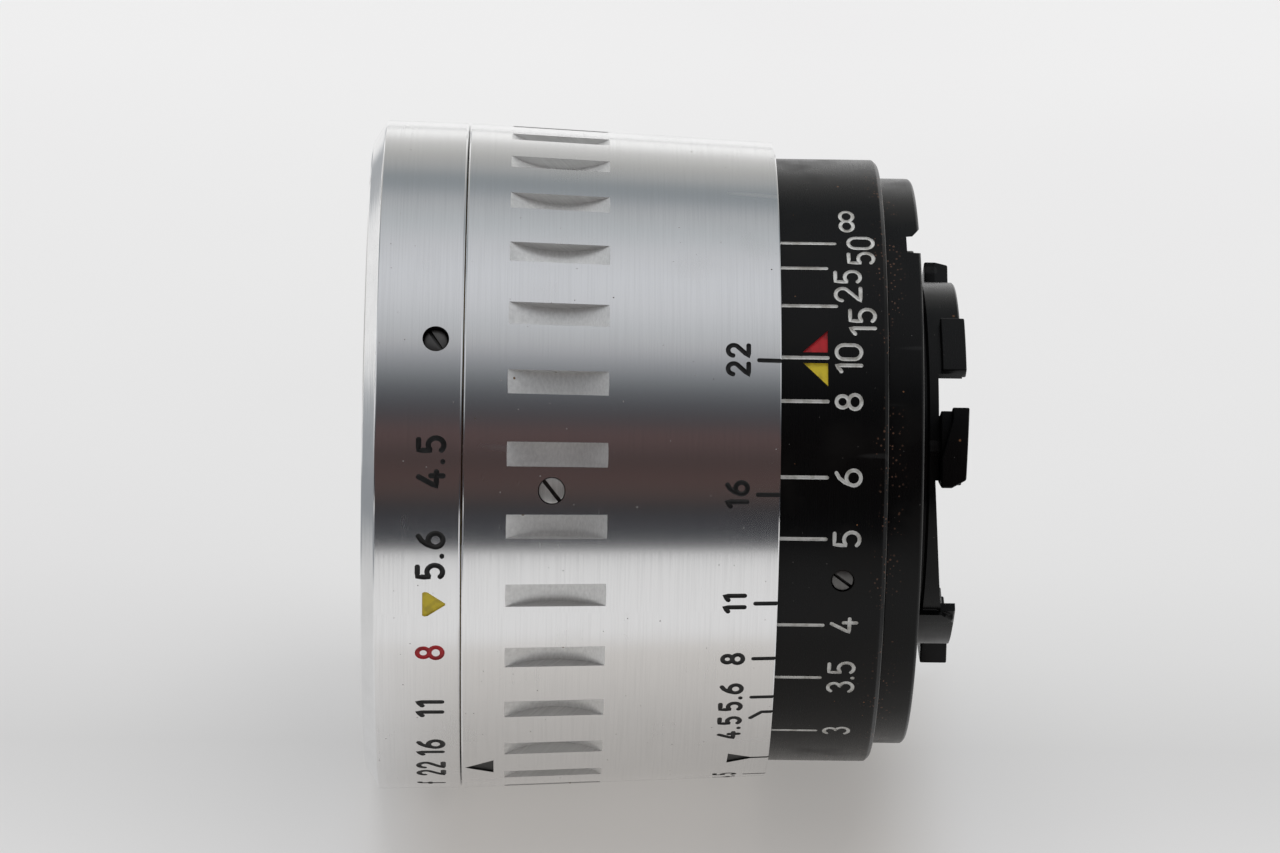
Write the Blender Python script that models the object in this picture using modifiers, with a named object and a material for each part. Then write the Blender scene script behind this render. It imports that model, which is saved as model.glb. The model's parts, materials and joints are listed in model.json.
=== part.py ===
"""Wide-angle prime lens with a preset-style aperture ring, a helical focus and a bayonet mount.

The lens lies on its side. Its optical axis is +X, pointing from the front glass to the mount, and it rests
on Z = 0. Every ring is drawn about a local Z axis, in millimetres from the front rim ("station") and from
the axis ("radius"). One empty then lays the whole lens down.
"""
import math

import bmesh
import bpy
from mathutils import Euler, Matrix, Vector

MM = 0.001

# Driving dimensions, in millimetres and degrees.
LENGTH = 47.15
BODY_RADIUS = 27.0
CLEARANCE = 0.3
OUTER_SIDES = 48
INNER_SIDES = 32

# Angles on the rings are counted from the line that faces the user, which stands 27 degrees above level.
USER_ELEVATION = 27.0

APERTURE_RING_END = 7.7
BARREL_END = 32.07
BARREL_FRONT_RADIUS = 26.85
BARREL_REAR_RADIUS = 25.63
BARREL_BORE = 24.65
DISTANCE_RING_RADIUS = 24.33
DISTANCE_RING_BORE = 22.85
DISTANCE_RING_END = 40.4
MOUNT_RING_RADIUS = 22.85
MOUNT_FACE = 43.1
NECK_RADIUS = 14.5
NECK_BORE = 13.0

GRIP_SLOTS = 30
GRIP_STATION = 15.31
GRIP_SLOT_WIDTH = 1.9
GRIP_SLOT_DEPTH = 0.95
GRIP_CUTTER_RADIUS = 8.75

APERTURE_TURN = 66.1
FOCUS_TURN = 117.1
FOCUS_OVERRUN = 1.5

BLADES = 5
BLADE_THICKNESS = 0.15
BLADE_PITCH = 0.32
BLADE_SWING = 13.9
BLADE_FLOOR = 23.3
PIVOT_RADIUS = 13.2
POST_RADIUS = 0.5
PIN_RADIUS = 0.35
OPEN_RADIUS = 4.0
CRESCENT_RADIUS = 10.0
HEAD_RADIUS = 14.4
HEAD_START = -7.0
HEAD_END = 32.0
TAIL_END = 175.0
PIN_OFFSET = Vector((-1.5, 5.7))
CAM_FRONT = 20.2
CAM_REAR = 20.9
DRIVE_PIN_STATION = 20.55
DRIVE_PIN_ANGLE = 40.0


def remove_everything():
    for thing in list(bpy.data.objects):
        bpy.data.objects.remove(thing, do_unlink=True)


def new_collection(name):
    group = bpy.data.collections.new(name)
    bpy.context.scene.collection.children.link(group)
    return group


def new_material(name, colour, roughness, metallic):
    material = bpy.data.materials.new(name)
    material.use_nodes = True
    shader = material.node_tree.nodes["Principled BSDF"]
    shader.inputs["Base Color"].default_value = (*colour, 1.0)
    shader.inputs["Roughness"].default_value = roughness
    shader.inputs["Metallic"].default_value = metallic
    return material


remove_everything()
PARTS = new_collection("prime_lens")
CUTTERS = new_collection("cutters")
SATIN = new_material("satin_aluminium", (0.72, 0.72, 0.71), 0.34, 1.0)
BLACK = new_material("black_anodised", (0.028, 0.028, 0.03), 0.42, 0.6)
STEEL = new_material("steel", (0.5, 0.49, 0.47), 0.35, 1.0)
BRASS = new_material("brass", (0.62, 0.47, 0.2), 0.4, 1.0)
BLADE_STEEL = new_material("blackened_steel", (0.05, 0.05, 0.055), 0.45, 0.8)
GLASS = new_material("coated_glass", (0.75, 0.78, 0.9), 0.05, 0.0)

# The empty stands the local axis down: local Z becomes +X, and local X points at the table.
axis = bpy.data.objects.new("optical_axis", None)
axis.location = (-LENGTH / 2 * MM, 0, BODY_RADIUS * MM)
axis.rotation_euler = (0, math.radians(90), 0)
PARTS.objects.link(axis)


def ring_angle(from_user):
    """The local angle of a place given in degrees below the line that faces the user."""
    return math.radians(from_user - 90 - USER_ELEVATION)


def spot(radius, angle, station):
    """A local point in metres, from a radius, an angle in radians and a station."""
    return Vector((radius * math.cos(angle), radius * math.sin(angle), station)) * MM


def place(name, mesh, material=None, sharp_angle=30):
    """Link a mesh as a part, or as a cutter when it has no material."""
    piece = bpy.data.objects.new(name, mesh)
    if material:
        PARTS.objects.link(piece)
        mesh.materials.append(material)
        mesh.shade_smooth()
        mesh.set_sharp_from_angle(angle=math.radians(sharp_angle))
    else:
        CUTTERS.objects.link(piece)
        piece.hide_render = True
        piece.display_type = "WIRE"
    piece.parent = axis
    return piece


def turned(name, outline, material, sides=INNER_SIDES):
    """Turn an outline of (radius, station) points about the axis. The flats lie at the outline's radii."""
    area = sum(
        r0 * s1 - r1 * s0
        for (r0, s0), (r1, s1) in zip(outline, outline[1:] + outline[:1])
    )
    if area > 0:
        outline = outline[::-1]
    closed = all(radius > 0 for radius, station in outline)
    if not closed:
        # A solid piece starts and ends on the axis, so its outline is opened there.
        while outline[0][0] > 0 or outline[-1][0] > 0:
            outline = outline[1:] + outline[:1]
    spread = 1 / math.cos(math.pi / sides)
    points = [(radius * spread * MM, 0, station * MM) for radius, station in outline]
    edges = [(i, i + 1) for i in range(len(points) - 1)]
    if closed:
        edges.append((len(points) - 1, 0))
    mesh = bpy.data.meshes.new(name)
    mesh.from_pydata(points, edges, [])
    piece = place(name, mesh, material)
    piece.rotation_euler.z = math.pi / sides
    screw = piece.modifiers.new("turn", "SCREW")
    screw.steps = screw.render_steps = sides
    screw.use_merge_vertices = True
    screw.merge_threshold = 0.000001
    screw.use_smooth_shade = False
    return piece


def cylinders(name, matrices, radius, length, sides=16, material=None):
    """Equal cylinders in one mesh, each standing on its matrix's origin along the matrix's Z."""
    shape = bmesh.new()
    for matrix in matrices:
        lift = Matrix.Translation((0, 0, length / 2 * MM))
        bmesh.ops.create_cone(
            shape,
            cap_ends=True,
            segments=sides,
            radius1=radius * MM,
            radius2=radius * MM,
            depth=length * MM,
            matrix=matrix @ lift,
        )
    mesh = bpy.data.meshes.new(name)
    shape.to_mesh(mesh)
    shape.free()
    return place(name, mesh, material)


def block(name, size, matrix, material=None):
    shape = bmesh.new()
    scale = Matrix.Diagonal((*(side * MM for side in size), 1))
    bmesh.ops.create_cube(shape, size=1, matrix=matrix @ scale)
    mesh = bpy.data.meshes.new(name)
    shape.to_mesh(mesh)
    shape.free()
    return place(name, mesh, material)


def outward(radius, angle, station):
    """A matrix at a point on a ring, with its Z pointing away from the axis and its Y round the ring."""
    turn = Euler((0, math.pi / 2, angle)).to_matrix().to_4x4()
    return Matrix.Translation(spot(radius, angle, station)) @ turn


def along(radius, angle, station):
    """A matrix at a point on a ring, with its Z along the axis."""
    turn = Matrix.Rotation(angle, 4, "Z")
    return Matrix.Translation(spot(radius, angle, station)) @ turn


def plate(name, outlines, front, rear, material=None):
    """A flat plate between two stations. The first outline is its edge and the others are holes in it."""
    curve = bpy.data.curves.new(name, "CURVE")
    curve.dimensions = "2D"
    curve.fill_mode = "BOTH"
    curve.extrude = (rear - front) / 2 * MM
    for outline in outlines:
        line = curve.splines.new("POLY")
        line.points.add(len(outline) - 1)
        for point, (x, y) in zip(line.points, outline):
            point.co = (x * MM, y * MM, 0, 1)
        line.use_cyclic_u = True
    guide = bpy.data.objects.new(name + "_outline", curve)
    CUTTERS.objects.link(guide)
    bpy.context.view_layer.update()
    mesh = bpy.data.meshes.new_from_object(guide.evaluated_get(bpy.context.evaluated_depsgraph_get()))
    bpy.data.objects.remove(guide)
    bpy.data.curves.remove(curve)
    shape = bmesh.new()
    shape.from_mesh(mesh)
    bmesh.ops.remove_doubles(shape, verts=shape.verts, dist=0.000001)
    bmesh.ops.recalc_face_normals(shape, faces=shape.faces)
    shape.to_mesh(mesh)
    shape.free()
    mesh.materials.clear()
    piece = place(name, mesh, material)
    piece.location.z = (front + rear) / 2 * MM
    return piece


def arc(radius, start, end, step=6.0):
    """Points on a circle about the axis, from one angle to another in degrees."""
    count = max(2, round(abs(end - start) / step) + 1)
    angles = [math.radians(start + (end - start) * i / (count - 1)) for i in range(count)]
    return [(radius * math.cos(a), radius * math.sin(a)) for a in angles]


def sector(name, inner, outer, start, end, front, rear, step=6.0):
    """A cutter that takes out the stretch of a ring between two angles from the user's line."""
    shift = -90 - USER_ELEVATION
    outline = arc(outer, start + shift, end + shift, step) + arc(inner, end + shift, start + shift, step)
    return plate(name, [outline], front, rear)


def combine(piece, other, operation="DIFFERENCE"):
    cut = piece.modifiers.new(other.name, "BOOLEAN")
    cut.operation = operation
    cut.solver = "EXACT"
    cut.object = other


def thirds(first):
    """Three equal places round a ring, from an angle below the user's line."""
    return [ring_angle(first + 120 * i) for i in range(3)]


def slotted_screws(name, places, radius, length, slot_turn=0.0, material=STEEL):
    """Screws whose heads face along each place's Z, with a driver slot, one node each."""
    slot_width, slot_depth = 0.32, 0.35
    for number, matrix in enumerate(places, 1):
        screw = cylinders(f"{name}_{number}", [matrix], radius, length, 16, material)
        head = matrix @ Matrix.Translation((0, 0, length * MM)) @ Matrix.Rotation(slot_turn, 4, "Z")
        slot = block(f"{name}_slot_{number}", (3 * radius, slot_width, 2 * slot_depth), head)
        combine(screw, slot)


def barrel_radius(station):
    """The radius of the tapered barrel at a station."""
    share = (station - APERTURE_RING_END) / (BARREL_END - APERTURE_RING_END)
    return BARREL_FRONT_RADIUS + share * (BARREL_REAR_RADIUS - BARREL_FRONT_RADIUS)


def cap(rim_radius, rim_station, pole_station, count=6):
    """Points of a spherical face, from its pole on the axis to its rim."""
    sag = rim_station - pole_station
    curve = (rim_radius ** 2 + sag ** 2) / (2 * abs(sag))
    side = 1 if sag > 0 else -1
    radii = [rim_radius * i / count for i in range(count + 1)]
    return [(r, pole_station + side * (curve - math.sqrt(curve ** 2 - r ** 2))) for r in radii]


def glass(name, radius, front_rim, front_pole, rear_rim, rear_pole, front_radius=None, rear_radius=None):
    """A lens element with two spherical faces inside a cylindrical edge."""
    front = cap(front_radius or radius, front_rim, front_pole)
    rear = cap(rear_radius or radius, rear_rim, rear_pole)
    edge = [(radius, front_rim)] if front_radius else []
    edge += [(radius, rear_rim)] if rear_radius else []
    return turned(name, front + edge + rear[::-1], GLASS)


def make_aperture_ring():
    ring = turned("aperture_ring", [
        (25.4, 0), (BODY_RADIUS, 1.07), (26.88, APERTURE_RING_END - CLEARANCE / 2),
        (24.1, APERTURE_RING_END - CLEARANCE / 2), (24.1, 0),
    ], SATIN, OUTER_SIDES)
    places = thirds(-19.25)
    holes = cylinders("aperture_screw_holes", [outward(23, a, 5.58) for a in places], 1.22, 6)
    combine(ring, holes)
    slotted_screws("aperture_ring_screw", [outward(24.0, a, 5.58) for a in places], 0.92, 2.5, 0.0)


def make_drive_sleeve():
    """The hub that the ring's set screws grip, and its sleeve that reaches back to the iris."""
    hub_end = 11.4
    sleeve = turned("drive_sleeve", [
        (23.6, 4.8), (23.6, hub_end), (20.1, hub_end), (20.1, 21.1), (19.0, 21.1), (19.0, 4.8),
    ], BRASS)
    pin_angle = ring_angle(DRIVE_PIN_ANGLE)
    hole = cylinders("drive_pin_hole", [outward(17, pin_angle, DRIVE_PIN_STATION)], 0.7, 5, 12)
    combine(sleeve, hole)
    cylinders("drive_pin", [outward(14.9, pin_angle, DRIVE_PIN_STATION)], 0.38, 4.9, 12, STEEL)


def make_barrel():
    start = APERTURE_RING_END + CLEARANCE / 2
    barrel = turned("focus_barrel", [
        (barrel_radius(start), start), (BARREL_REAR_RADIUS, BARREL_END),
        (BARREL_BORE, BARREL_END), (BARREL_BORE, start),
    ], SATIN, OUTER_SIDES)
    disc_centre = barrel_radius(GRIP_STATION) + GRIP_CUTTER_RADIUS - GRIP_SLOT_DEPTH
    across = Matrix.Rotation(math.pi / 2, 4, "X") @ Matrix.Translation((0, 0, -GRIP_SLOT_WIDTH / 2 * MM))
    discs = []
    for i in range(GRIP_SLOTS):
        angle = ring_angle(360 / GRIP_SLOTS * i)
        discs.append(along(disc_centre, angle, GRIP_STATION) @ across)
    combine(barrel, cylinders("grip_slots", discs, GRIP_CUTTER_RADIUS, GRIP_SLOT_WIDTH, 32))
    places = thirds(5.7)
    holes = cylinders("barrel_screw_holes", [outward(22.5, a, 14.5) for a in places], 1.3, 6)
    combine(barrel, holes)
    slotted_screws("barrel_screw", [outward(22.9, a, 14.5) for a in places], 1.0, 3.55, 0.7)
    return holes


def make_helicoid_tube(screw_holes):
    """The moving tube. Its lip carries the barrel in front and its rear runs in the fixed helicoid."""
    tube = turned("helicoid_tube", [
        (24.3, 12), (24.3, 22), (20.5, 22), (20.5, 36.3), (18.8, 36.3), (18.8, 21.5), (20.5, 21.5), (20.5, 12),
    ], BRASS, OUTER_SIDES)
    combine(tube, screw_holes)
    keyways = [block(f"keyway_{i}", (4, 3.0, 8), along(19.7, ring_angle(160 + 180 * i), 35.5)) for i in range(2)]
    for keyway in keyways:
        combine(tube, keyway)
    click_place = along(22.4, ring_angle(200), 11)
    combine(tube, cylinders("click_bore", [click_place], 1.1, 5, 16))
    ball = bmesh.new()
    bmesh.ops.create_uvsphere(ball, u_segments=16, v_segments=10, radius=0.75 * MM)
    mesh = bpy.data.meshes.new("click_ball")
    ball.to_mesh(mesh)
    ball.free()
    place("click_ball", mesh, STEEL, 80).location = click_place @ Vector((0, 0, 1.55 * MM))
    make_click_spring(click_place @ Matrix.Translation((0, 0, 2.75 * MM)))


def make_click_spring(matrix):
    turns, per_turn, pitch, radius, wire = 4, 12, 0.48, 0.6, 0.12
    curve = bpy.data.curves.new("click_spring", "CURVE")
    curve.dimensions = "3D"
    curve.bevel_depth = wire * MM
    curve.bevel_resolution = 1
    curve.use_fill_caps = True
    line = curve.splines.new("POLY")
    line.points.add(turns * per_turn)
    for i, point in enumerate(line.points):
        angle = 2 * math.pi * i / per_turn
        point.co = (
            radius * math.cos(angle) * MM,
            radius * math.sin(angle) * MM,
            pitch * i / per_turn * MM,
            1,
        )
    curve.materials.append(STEEL)
    spring = bpy.data.objects.new("click_spring", curve)
    PARTS.objects.link(spring)
    spring.parent = axis
    spring.matrix_local = matrix


def make_front_optics():
    turned("front_ring", [
        (23.75, 3.0), (23.75, 4.4), (18.6, 4.4), (18.6, 9.0), (15.4, 9.0), (15.4, 8.0), (14.3, 8.0),
        (14.3, 7.2), (18.2, 3.6), (23.3, 3.0),
    ], BLACK, OUTER_SIDES)
    glass("front_element", 15.0, 8.35, 5.9, 9.7, 7.3, 14.2, 12.0)
    turned("front_cell", [
        (18.6, 9.3), (18.6, 19.6), (9.2, 19.6), (9.2, 15.0), (8.0, 15.0), (8.0, 14.2), (12.5, 10.0),
        (15.35, 10.0), (15.35, 9.3),
    ], BLACK)
    glass("second_element", 8.85, 15.9, 15.35, 17.2, 17.9)
    turned("second_retaining_ring", [(8.85, 17.5), (8.85, 19.2), (7.6, 19.2), (7.6, 18.2), (8.2, 17.5)], BLACK)


def make_rear_optics():
    turned("rear_cell", [
        (18.2, 24.6), (18.2, 26.0), (14.0, 26.0), (14.0, 33.5), (11.8, 33.5), (11.8, 38.9), (9.8, 38.9),
        (9.8, 25.7), (7.2, 25.7), (7.2, 24.6),
    ], BLACK)
    glass("third_element", 9.4, 26.1, 27.3, 29.0, 28.4, 7.0, 8.2)
    turned("spacer_ring", [(9.4, 29.3), (9.4, 31.7), (8.4, 31.7), (8.4, 29.3)], BRASS)
    glass("rear_element", 9.4, 32.9, 32.0, 35.2, 36.7)
    turned("rear_retaining_ring", [(9.4, 36.3), (9.4, 38.2), (8.2, 38.2), (8.2, 37.3), (9.0, 36.3)], BLACK)


def blade_pivot_angle(number):
    return 2 * math.pi * number / BLADES


def make_iris():
    rear_floor = 24.3
    base = turned("iris_base", [
        (18.4, 19.9), (18.4, rear_floor), (7.5, rear_floor), (7.5, BLADE_FLOOR), (16.4, BLADE_FLOOR), (16.4, 19.9),
    ], BLACK)
    pin_sweep = math.degrees(0.9 / 16.4) + 1
    notch = sector(
        "drive_pin_way", 15.5, 19.5, DRIVE_PIN_ANGLE - pin_sweep,
        DRIVE_PIN_ANGLE + APERTURE_TURN + pin_sweep, 19.0, 21.25,
    )
    combine(base, notch)
    for number in range(BLADES):
        make_blade(number, base)
    make_cam_ring()


def make_blade(number, base):
    """A crescent with a wide head. The head turns on a post of the base and carries the driven pin."""
    angle = blade_pivot_angle(number)
    rear = BLADE_FLOOR - 0.25 - BLADE_PITCH * number
    post_foot = BLADE_FLOOR + 0.5
    post_top = rear - BLADE_THICKNESS - 0.2
    post = cylinders(
        f"post_{number + 1}", [along(PIVOT_RADIUS, angle, post_top)], POST_RADIUS, post_foot - post_top, 12
    )
    combine(base, post, "UNION")
    edge = arc(HEAD_RADIUS, HEAD_START, HEAD_END) + arc(CRESCENT_RADIUS, HEAD_END, TAIL_END, 9)
    edge += arc(OPEN_RADIUS, TAIL_END, HEAD_START, 9)
    edge = [(x - PIVOT_RADIUS, y) for x, y in edge]
    hole = arc(POST_RADIUS + CLEARANCE, 0, 330, 30)
    blade = plate(f"iris_blade_{number + 1}", [edge, hole], rear - BLADE_THICKNESS, rear, BLADE_STEEL)
    blade.location = spot(PIVOT_RADIUS, angle, rear - BLADE_THICKNESS / 2)
    blade.rotation_euler.z = angle + math.radians(BLADE_SWING)
    pin_top = CAM_FRONT - 0.2
    foot = rear - BLADE_THICKNESS * 0.3
    pin = cylinders(
        f"blade_pin_{number + 1}", [Matrix.Translation((PIN_OFFSET.x * MM, PIN_OFFSET.y * MM, 0))],
        PIN_RADIUS, foot - pin_top, 10,
    )
    pin.location = blade.location
    pin.location.z = pin_top * MM
    pin.rotation_euler.z = blade.rotation_euler.z
    combine(blade, pin, "UNION")


def cam_path(number, share):
    """Where a blade's pin stands on the cam ring when the iris is opened by a share of its travel."""
    angle = blade_pivot_angle(number)
    pivot = Matrix.Rotation(angle, 2) @ Vector((PIVOT_RADIUS, 0))
    swing = angle + math.radians(BLADE_SWING * (1 - share))
    pin = pivot + Matrix.Rotation(swing, 2) @ PIN_OFFSET
    return Matrix.Rotation(-math.radians(APERTURE_TURN) * share, 2) @ pin


def cam_slot(number, steps=10, end_steps=5):
    """A slot of constant width about the pin's path, with round ends."""
    half_width = PIN_RADIUS + CLEARANCE
    path = [cam_path(number, i / steps) for i in range(steps + 1)]
    headings = [
        (path[min(i + 1, steps)] - path[max(i - 1, 0)]).normalized() for i in range(steps + 1)
    ]
    sides = [Vector((-heading.y, heading.x)) * half_width for heading in headings]
    outline = [point + side for point, side in zip(path, sides)]
    for i in range(1, end_steps):
        outline.append(path[-1] + Matrix.Rotation(-math.pi * i / end_steps, 2) @ sides[-1])
    outline += [point - side for point, side in zip(path[::-1], sides[::-1])]
    for i in range(1, end_steps):
        outline.append(path[0] - Matrix.Rotation(-math.pi * i / end_steps, 2) @ sides[0])
    return [tuple(point) for point in outline]


def make_cam_ring():
    outer, inner = 15.95, 9.4
    pin_place = math.degrees(ring_angle(DRIVE_PIN_ANGLE))
    half_notch = math.degrees(0.72 / 15.2)
    edge = arc(outer, pin_place + half_notch, pin_place + 360 - half_notch, 7.5)
    edge += arc(14.55, pin_place + 360 - half_notch, pin_place + 360 + half_notch, 3)
    slots = [cam_slot(number) for number in range(BLADES)]
    plate("iris_cam_ring", [edge, arc(inner, 0, 350, 10)] + slots, CAM_FRONT, CAM_REAR, BRASS)


def make_fixed_body():
    ring = turned("distance_ring", [
        (DISTANCE_RING_RADIUS, 24.6), (DISTANCE_RING_RADIUS, DISTANCE_RING_END - 0.35),
        (DISTANCE_RING_RADIUS - 0.35, DISTANCE_RING_END), (DISTANCE_RING_BORE, DISTANCE_RING_END),
        (DISTANCE_RING_BORE, 24.6),
    ], BLACK, OUTER_SIDES)
    helicoid = turned("fixed_helicoid", [
        (22.5, 25), (22.5, DISTANCE_RING_END), (21.8, DISTANCE_RING_END), (21.8, 38.0), (20.9, 38.0), (20.9, 25),
    ], BRASS, OUTER_SIDES)
    places = thirds(22.5)
    holes = cylinders("distance_screw_holes", [outward(20.0, a, 37.07) for a in places], 1.15, 6)
    combine(ring, holes)
    combine(helicoid, holes)
    slotted_screws("distance_ring_screw", [outward(21.2, a, 37.07) for a in places], 0.85, 3.08, 0.9)


def make_key_ring():
    """The ring that turns with the moving tube and slides in its keyways. A pin stops it at both ends."""
    front, rear = 38.3, 39.0
    ring = turned("focus_key_ring", [(21.4, front), (21.4, rear), (18.9, rear), (18.9, front)], STEEL)
    stop_angle, stop_radius, pin_radius = 10.0, 20.1, 0.5
    margin = math.degrees((pin_radius + CLEARANCE) / stop_radius)
    way = sector(
        "stop_way", stop_radius - 0.8, stop_radius + 0.8, stop_angle - FOCUS_OVERRUN - margin,
        stop_angle + FOCUS_TURN + margin, 37, 40,
    )
    combine(ring, way)
    for i in range(2):
        tongue = block(f"tongue_{i}", (1.1, 2.2, 5.2), along(19.65, ring_angle(160 + 180 * i), 35.95))
        combine(ring, tongue, "UNION")
    pin_place = along(stop_radius, ring_angle(stop_angle), 38.4)
    cylinders("focus_stop_pin", [pin_place], pin_radius, 1.8, 12, STEEL)
    return cylinders("stop_pin_hole", [pin_place], pin_radius + CLEARANCE, 4, 12)


def make_mount(stop_pin_hole):
    gap_face = DISTANCE_RING_END + CLEARANCE
    ring = turned("mount_ring", [
        (MOUNT_RING_RADIUS, gap_face), (MOUNT_RING_RADIUS, MOUNT_FACE - 0.4),
        (MOUNT_RING_RADIUS - 0.4, MOUNT_FACE), (NECK_RADIUS + 0.4, MOUNT_FACE), (NECK_RADIUS + 0.4, gap_face),
    ], BLACK, OUTER_SIDES)
    combine(ring, block("lock_notch", (3.0, 1.9, 6), along(23.2, ring_angle(-46), 43)))
    claw_front, claw_radius = 45.15, 17.2
    tube = turned("bayonet_tube", [
        (21.2, 39.3), (21.2, DISTANCE_RING_END), (NECK_RADIUS, DISTANCE_RING_END), (NECK_RADIUS, claw_front),
        (claw_radius, claw_front), (claw_radius, LENGTH), (NECK_BORE, LENGTH), (NECK_BORE, 39.3),
    ], BLACK, OUTER_SIDES)
    # Between the three claws the flange is cut back to the neck, and the rim is cut low where it is scooped.
    claws = [(-13.5, 7), (106, 127), (227, 247)]
    for number, (start, end) in enumerate(claws):
        next_start = claws[(number + 1) % 3][0] + (360 if number == 2 else 0)
        cut = sector(f"claw_gap_{number + 1}", NECK_RADIUS + 0.05, 19, end, next_start, 44.6, 48)
        combine(tube, cut)
    low_stretches = [(-27, -13.5), (7, 51), (127, 150), (200, 227)]
    for number, (start, end) in enumerate(low_stretches):
        combine(tube, sector(f"rim_scoop_{number + 1}", 12, 19, start, end, 44.9, 48))
    screw_places = [ring_angle(60 + 120 * i) for i in range(3)]
    holes = cylinders("mount_screw_holes", [along(18.2, a, 38.9) for a in screw_places], 1.15, 6)
    combine(ring, holes)
    combine(tube, holes)
    combine(tube, stop_pin_hole)
    slotted_screws("mount_screw", [along(18.2, a, 39.6) for a in screw_places], 0.85, 3.4, 0.6)
    turned("rear_light_shield", [(12.65, 43.2), (12.65, 44.4), (10.0, 44.4), (10.0, 43.8), (11.6, 43.2)], BLACK)


make_aperture_ring()
make_drive_sleeve()
make_helicoid_tube(make_barrel())
make_front_optics()
make_iris()
make_rear_optics()
make_fixed_body()
make_mount(make_key_ring())
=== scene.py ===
import bpy
import bmesh
import json
import math
from mathutils import Matrix, Vector


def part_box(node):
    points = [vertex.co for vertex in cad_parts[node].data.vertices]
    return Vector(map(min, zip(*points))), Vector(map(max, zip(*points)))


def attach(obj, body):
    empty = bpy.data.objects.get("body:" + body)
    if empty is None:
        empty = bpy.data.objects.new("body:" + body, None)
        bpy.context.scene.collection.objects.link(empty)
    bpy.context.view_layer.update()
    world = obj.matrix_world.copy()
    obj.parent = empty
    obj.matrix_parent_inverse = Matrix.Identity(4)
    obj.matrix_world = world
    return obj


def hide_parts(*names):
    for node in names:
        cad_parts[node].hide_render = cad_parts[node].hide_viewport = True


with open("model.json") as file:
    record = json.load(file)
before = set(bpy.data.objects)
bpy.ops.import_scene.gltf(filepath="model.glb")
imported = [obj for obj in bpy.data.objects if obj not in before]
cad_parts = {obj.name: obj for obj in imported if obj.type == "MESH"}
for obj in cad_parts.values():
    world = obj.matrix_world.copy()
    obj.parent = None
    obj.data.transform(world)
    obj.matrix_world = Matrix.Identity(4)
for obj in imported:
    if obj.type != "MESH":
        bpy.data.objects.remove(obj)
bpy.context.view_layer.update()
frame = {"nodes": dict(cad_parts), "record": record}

mm = 0.001
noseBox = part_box("aperture_ring")
frontX = noseBox[0].x                              # the front rim's plane
axisZ = (noseBox[0].z + noseBox[1].z) / 2          # height of the optical axis
userElevation = 27                                 # the scales face a user this far above level

lens = {
    "sides": 240,
    "seam": 7.7,
    "barrelEnd": 32.07,
    "barrelFrontRadius": 26.85,
    "barrelRearRadius": 25.63,
    "distanceRadius": 24.33,
    "distanceEnd": 40.4,
    "mountRadius": 22.85,
    "mountFace": 43.22,
    "length": 47.15,
}


def at(station, radius, angle):
    # station: mm behind the front rim, angle: degrees below the line that faces the user
    rise = math.radians(userElevation - angle)
    reach = radius * mm
    return Vector((frontX + station * mm, -reach * math.cos(rise), axisZ + reach * math.sin(rise)))


def spotMatrix(station, radius, angle):
    # Z points away from the axis, X along it towards the mount
    outward = (at(0, 1, angle) - at(0, 0, angle)).normalized()
    along = Vector((1, 0, 0))
    across = outward.cross(along)
    turn = Matrix((along, across, outward)).transposed().to_4x4()
    return Matrix.Translation(at(station, radius, angle)) @ turn


def barrelRadius(station):
    share = (station - lens["seam"]) / (lens["barrelEnd"] - lens["seam"])
    return lens["barrelFrontRadius"] + share * (lens["barrelRearRadius"] - lens["barrelFrontRadius"])


def newGroup(name, inputs, outputs):
    # everything that goes into or out of these groups is a plain number
    group = bpy.data.node_groups.new(name, "ShaderNodeTree")
    for label, value in inputs.items():
        socket = group.interface.new_socket(label, in_out="INPUT", socket_type="NodeSocketFloat")
        socket.default_value = value
    for label in outputs:
        group.interface.new_socket(label, in_out="OUTPUT", socket_type="NodeSocketFloat")
    return group, group.nodes.new("NodeGroupInput"), group.nodes.new("NodeGroupOutput")


def addNode(tree, kind, settings=None, values=None):
    node = tree.nodes.new(kind)
    for key, value in (settings or {}).items():
        setattr(node, key, value)
    for key, value in (values or {}).items():
        if isinstance(value, bpy.types.NodeSocket):
            tree.links.new(value, node.inputs[key])
        else:
            node.inputs[key].default_value = value
    return node


def math2(tree, operation, a, b=0.0):
    return addNode(tree, "ShaderNodeMath", {"operation": operation}, {0: a, 1: b}).outputs[0]


def times(tree, a, b):
    return math2(tree, "MULTIPLY", a, b)


def smooth(tree, value, low, high):
    values = {"Value": value, "From Min": low, "From Max": high}
    return addNode(tree, "ShaderNodeMapRange", {"interpolation_type": "SMOOTHSTEP"}, values).outputs[0]


def objectPlace(tree):
    return addNode(tree, "ShaderNodeTexCoord").outputs["Object"]


def noise(tree, vector, scale, detail, dimensions="3D", roughness=0.5):
    values = {"Vector": vector, "Scale": scale, "Detail": detail, "Roughness": roughness}
    return addNode(tree, "ShaderNodeTexNoise", {"noise_dimensions": dimensions}, values).outputs["Fac"]


def addBump(tree, shader, height, strength, distance):
    values = {"Height": height, "Strength": strength, "Distance": distance}
    bump = addNode(tree, "ShaderNodeBump", None, values)
    tree.links.new(bump.outputs[0], shader.inputs["Normal"])


def ringCoordinates():
    # where a point is on the lens: along the axis, out from it, and round it
    group, start, end = newGroup("ring coordinates", {}, ["Along", "Radius", "Round"])
    place = objectPlace(group)
    parts = addNode(group, "ShaderNodeSeparateXYZ", None, {0: place})
    z = math2(group, "SUBTRACT", parts.outputs["Z"], axisZ)
    y = parts.outputs["Y"]
    radius = math2(group, "SQRT", math2(group, "ADD", times(group, y, y), times(group, z, z)))
    group.links.new(math2(group, "SUBTRACT", parts.outputs["X"], frontX), end.inputs["Along"])
    group.links.new(radius, end.inputs["Radius"])
    group.links.new(math2(group, "ARCTAN2", z, y), end.inputs["Round"])
    return group


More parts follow.
